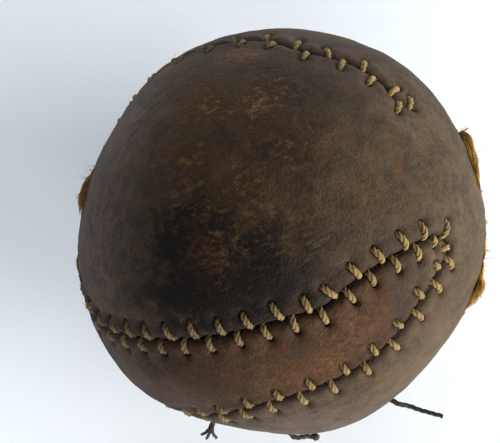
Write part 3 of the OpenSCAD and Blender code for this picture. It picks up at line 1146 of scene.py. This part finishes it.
class BALL_OT_frayed_ends(bpy.types.Operator):
    """Unravels the three golden thread ends on the ball's sides"""

    bl_idname = "ball.frayed_ends"
    bl_label = "Frayed ends"

    LOCKS = 16
    BACK_REACH = np.array((0.6, 0.8, 1.0))
    FIBRES = 20
    FIBRE_POINTS = 9
    STRAYS = 24
    STRAY_POINTS = 5
    TUFTS = {
        "frayed_tuft_upper": (
            "frayed_end_upper", FRAYED_UPPER, 40,
            dict(low=0.2, height=1.3, swells=(-0.15, 0.15), taper=1.7, lean=-3.2, back=0.3, tip=2.0),
        ),
        "frayed_tuft_lower": (
            "frayed_end_lower", FRAYED_LOWER, 41,
            dict(low=0.4, height=1.4, swells=(0.26, 0.38), taper=6, lean=-3.0, back=3.8, tip=0.0),
        ),
        "frayed_tuft_left": (
            "frayed_end_left", FRAYED_LEFT, 42,
            dict(low=0.1, height=1.5, swells=(0.0, 0.7), taper=6, lean=2.2, back=0.6, tip=0.1),
        ),
    }

    def execute(self, context):
        layout, colours = settings(context)
        material = thread_material("frayed_thread_fibres", colours, colours.frayed, 0.55)
        for name, (node, route, seed, shape) in self.TUFTS.items():
            obj = self.tuft(name, layout, route, np.random.default_rng(seed), **shape)
            finish_piece(obj, node, material)
        return {"FINISHED"}

    def tuft(self, name, layout, route, draw, low, height, swells, taper, lean, back, tip):
        """Locks of fibre that come up through the hole, spread out and lie along the leather.

        They lie low, swell to their height between two shares of the length, taper off and lean aside;
        a few turn back from the hole, with their tips lifted.
        """
        line = unit(spline([on_globe(lon, lat) for lon, lat, _ in route[1:]], 5))
        headings = unit(np.gradient(line, axis=0))
        start = line[0]
        line = np.concatenate(([unit(start - headings[0] * back / layout.radius)], line))
        headings = np.concatenate((headings[:1], headings))
        run = run_along(line)
        share = (run - run[1]) / (run[-1] - run[1])
        count = self.LOCKS * self.FIBRES
        lock = np.arange(count) % self.LOCKS
        t = np.linspace(0, 1, self.FIBRE_POINTS)
        ahead_reach = np.linspace(0.4, 1.0, self.LOCKS - len(self.BACK_REACH))
        reach = np.append(ahead_reach, self.BACK_REACH * share[0])
        reach = reach[lock] * draw.uniform(0.7, 1.0, count)
        s = reach[:, None] * t
        middle = at_runs(s, share, line)
        ahead = at_runs(s, share, headings)
        bend, wave, shift = draw.uniform(-1, 1, (3, self.LOCKS, 1))[:, lock]
        level = np.linspace(1.0, 0.45, self.LOCKS)[lock, None] + 0.15 * wave
        level = level * draw.uniform(0, 1, (count, 1)) ** 0.7
        loose = draw.normal(0, 0.24, (count, 1)) * (1 - 0.6 * t**2)
        aside = lean * ease(abs(s) / 0.7) + bend * (ease(abs(s) / 0.4) + 0.8 * s**3)
        aside += 0.35 * np.sin(s * (9 + 4 * wave) + 3 * shift) + loose
        swell = low + (height - low) * ease((s - swells[0]) / (swells[1] - swells[0]))
        rise = 0.05 + level * swell * (1 - 0.9 * np.clip(s, 0, 1) ** taper)
        rise += 0.2 * level * np.sin(s * (14 + 5 * shift) + 4 * wave) * ease(s / 0.2)
        rise += (s < 0) * tip * t * draw.uniform(0.5, 1, (count, 1))
        u = unit(middle + np.cross(middle, ahead) * (aside / layout.radius)[:, :, None])
        r = layout.surface(u.reshape(-1, 3)).reshape(s.shape)
        hole = start * (layout.radius + layout.lumps(start[None])[0])
        inside = np.array((hole - 1.3 * start, hole - 0.5 * start))
        strands = u * (r + rise)[:, :, None]
        paths = [np.concatenate((inside + 0.4 * (strand[0] - hole), strand)) for strand in strands]
        girth = np.append([1, 1], 1 - 0.7 * t)
        radii = [thick * girth for thick in draw.uniform(0.055, 0.11, count)]
        out = np.linspace(0, 1, self.STRAY_POINTS)[:, None]
        for i in draw.integers(0, count, self.STRAYS):
            root = paths[i][draw.integers(4, 9)]
            aim = unit(draw.normal(0, 1, 3) + 0.8 * unit(root))
            paths.append(root + draw.uniform(0.6, 1.5) * (aim + 0.3 * unit(root) * out) * out)
            radii.append(np.linspace(0.05, 0.012, self.STRAY_POINTS))
        obj = add_strands(name, paths, radii, 0)
        # The mesh has the strands' end caps first, in reverse order, and then their sides
        grimy = draw.uniform(0, 1, len(paths)) ** 2
        sides = np.repeat(grimy, [4 * len(path) for path in paths])
        keep(obj, "grimy", np.concatenate((np.repeat(grimy[::-1], 8), sides)))
        return obj


class BALL_OT_windings(bpy.types.Operator):
    """Winds the wool yarn and the cotton twine"""

    bl_idname = "ball.windings"
    bl_label = "Windings"

    TWINE_TURNS = 110
    TWINE_R = 0.6
    WOOL_TURNS = 70
    WOOL_R = 0.9
    STEP = 3.4
    CLEARANCE = 0.06
    LEATHER_GAP = 0.05
    TOP_GAP = 0.02
    PACKED_LEVEL = 5

    # Depth, half width and slope of the channels under the seams
    SEAM_SINK = 1.15
    CHANNEL = 4.2
    CHANNEL_SLOPE = 2

    # How far the yarn leans and rolls over as it goes round
    LEAN = 0.0618
    ROLL = 0.0382

    def execute(self, context):
        layout, colours = settings(context)
        twine_top = layout.inner - self.LEATHER_GAP
        wool_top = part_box("wool_winding")[1].z / MM
        core_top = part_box("rubber_core")[1].z / MM
        twine = self.wound("twine_ball", self.TWINE_TURNS, twine_top, wool_top, self.TWINE_R, layout)
        twine_look = thread_material("wound_twine", colours, colours.twine, 0.3)
        finish_piece(twine, "twine_winding", twine_look)
        wool = self.wound("wool_ball", self.WOOL_TURNS, wool_top, core_top, self.WOOL_R, None)
        wool_look = thread_material("wound_wool", colours, colours.wool, 0.2)
        finish_piece(wool, "wool_winding", wool_look)
        return {"FINISHED"}

    def wound(self, name, turns, top, bottom, thickness, layout):
        """Turn on turn of yarn over a packed layer of it, sunk where a layout has its seams."""
        t = np.arange(0, turns * 2 * math.pi, self.STEP / top)
        lean, roll = self.LEAN * t, self.ROLL * t
        x, y = np.cos(t), np.sin(t)
        y, z = y * np.cos(roll), y * np.sin(roll)
        x, z = x * np.cos(lean) - z * np.sin(lean), x * np.sin(lean) + z * np.cos(lean)
        u = unit(np.stack((x, y, z), axis=-1))
        r = np.full(len(u), top - thickness - self.TOP_GAP)
        if layout:
            away = Near(layout.seams, u).away
            r -= self.SEAM_SINK * (1 - ease((away - self.CHANNEL) / self.CHANNEL_SLOPE))
        yarn = add_strands(name, [u * r[:, None]], [thickness])
        packed_top = top - 2.2 * thickness - 1.0
        packed = add_globe(name + "_packed", packed_top, self.PACKED_LEVEL)
        solidify(packed, packed_top - (bottom + self.CLEARANCE))
        smooth(packed)
        return join(yarn, packed)


class BALL_OT_core(bpy.types.Operator):
    """Moulds the rubber core with its flash line"""

    bl_idname = "ball.core"
    bl_label = "Core"

    LEVEL = 6
    SINK = 0.25
    FLASH = (0.15, 0.03)

    def execute(self, context):
        colours = context.scene.ball_colours
        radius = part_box("rubber_core")[1].z / MM
        core = add_globe("core_ball", radius, self.LEVEL)
        u = unit(points_of(core))
        flash = bell(u[:, 2], *self.FLASH)
        r = radius - self.SINK + 0.12 * ripple(u, 3.0) + 0.04 * ripple(u, 12.0) + flash
        set_points(core, u * np.minimum(r, radius)[:, None])
        smooth(core)
        finish_piece(core, "rubber_core", rubber_material("aged_rubber", colours))
        return {"FINISHED"}


class BALL_OT_stage(bpy.types.Operator):
    """Sets the pale floor, the soft lights and the camera"""

    bl_idname = "ball.stage"
    bl_label = "Stage"

    FLOOR_SIZE = 8

    # Each light's name, place, size, power and colour
    LIGHTS = (
        ("right_window", (1.05, -0.35, 0.25), 0.85, 35.5, (1.0, 0.96, 0.90)),
        ("near_window", (0.25, -1.05, 0.30), 0.85, 14.5, (1.0, 0.98, 0.94)),
        ("far_window", (0.25, 1.10, 0.35), 0.85, 12, (0.98, 0.99, 1.0)),
        ("left_fill", (-1.12, 0.30, 0.35), 1.0, 6, (0.94, 0.97, 1.0)),
    )
    SKY = (0.82, 0.90, 1.0, 1)
    SKY_STRENGTH = 0.11
    CAMERA_PLACE = (0, -0.0319, 0.1381)
    CAMERA_AIM = Vector((-0.00514, 0.00198, 0.00046))
    CAMERA_UP = Vector((0, 0.974, 0.225))
    LENS = 57.6
    CLIP_START = 0.005

    def execute(self, context):
        scene = context.scene
        deselect()
        bpy.ops.mesh.primitive_plane_add(size=self.FLOOR_SIZE, location=(0, 0, cover_low.z))
        floor = bpy.context.object
        floor.name = "floor"
        bpy.ops.object.transform_apply(location=True)
        floor.data.materials.append(floor_material("pale_floor", scene.ball_colours))
        for name, spot, size, power, tint in self.LIGHTS:
            bpy.ops.object.light_add(type="AREA", location=spot)
            light = bpy.context.object
            light.name = name
            light.data.size = size
            light.data.energy = power
            light.data.color = tint
            light.rotation_euler = (-Vector(spot)).to_track_quat("-Z", "Y").to_euler()
        world = bpy.data.worlds.new("soft_room")
        world.use_nodes = True
        sky = world.node_tree.nodes["Background"]
        sky.inputs["Color"].default_value = self.SKY
        sky.inputs["Strength"].default_value = self.SKY_STRENGTH
        scene.world = world
        scene.view_settings.view_transform = "Standard"
        bpy.ops.object.camera_add(location=self.CAMERA_PLACE)
        camera = bpy.context.object
        camera.name = "photo_camera"
        camera.data.lens = self.LENS
        camera.data.clip_start = self.CLIP_START
        back = (camera.location - self.CAMERA_AIM).normalized()
        right = self.CAMERA_UP.cross(back).normalized()
        camera.rotation_euler = Matrix((right, back.cross(right), back)).transposed().to_euler()
        scene.camera = camera
        return {"FINISHED"}


class BALL_PT_panel(bpy.types.Panel):
    """Lists the ball's pieces in the order they are made"""

    bl_idname = "BALL_PT_panel"
    bl_label = "Lemon Peel Ball"
    bl_space_type = "VIEW_3D"
    bl_region_type = "UI"
    bl_category = "Ball"

    def draw(self, context):
        for piece in PIECES:
            self.layout.operator(piece.bl_idname)


PIECES = (
    BALL_OT_leather, BALL_OT_seam_threads, BALL_OT_waxed_tails, BALL_OT_frayed_ends,
    BALL_OT_windings, BALL_OT_core, BALL_OT_stage,
)
CLASSES = (BallSizes, BallColours, *PIECES, BALL_PT_panel)


def register():
    for cls in CLASSES:
        bpy.utils.register_class(cls)
    bpy.types.Scene.ball_sizes = bpy.props.PointerProperty(type=BallSizes)
    bpy.types.Scene.ball_colours = bpy.props.PointerProperty(type=BallColours)


def unregister():
    del bpy.types.Scene.ball_colours
    del bpy.types.Scene.ball_sizes
    for cls in reversed(CLASSES):
        bpy.utils.unregister_class(cls)


def main():
    register()
    bpy.ops.ball.leather()
    bpy.ops.ball.seam_threads()
    bpy.ops.ball.waxed_tails()
    bpy.ops.ball.frayed_ends()
    bpy.ops.ball.windings()
    bpy.ops.ball.core()
    bpy.ops.ball.stage()


if __name__ == "__main__":
    main()
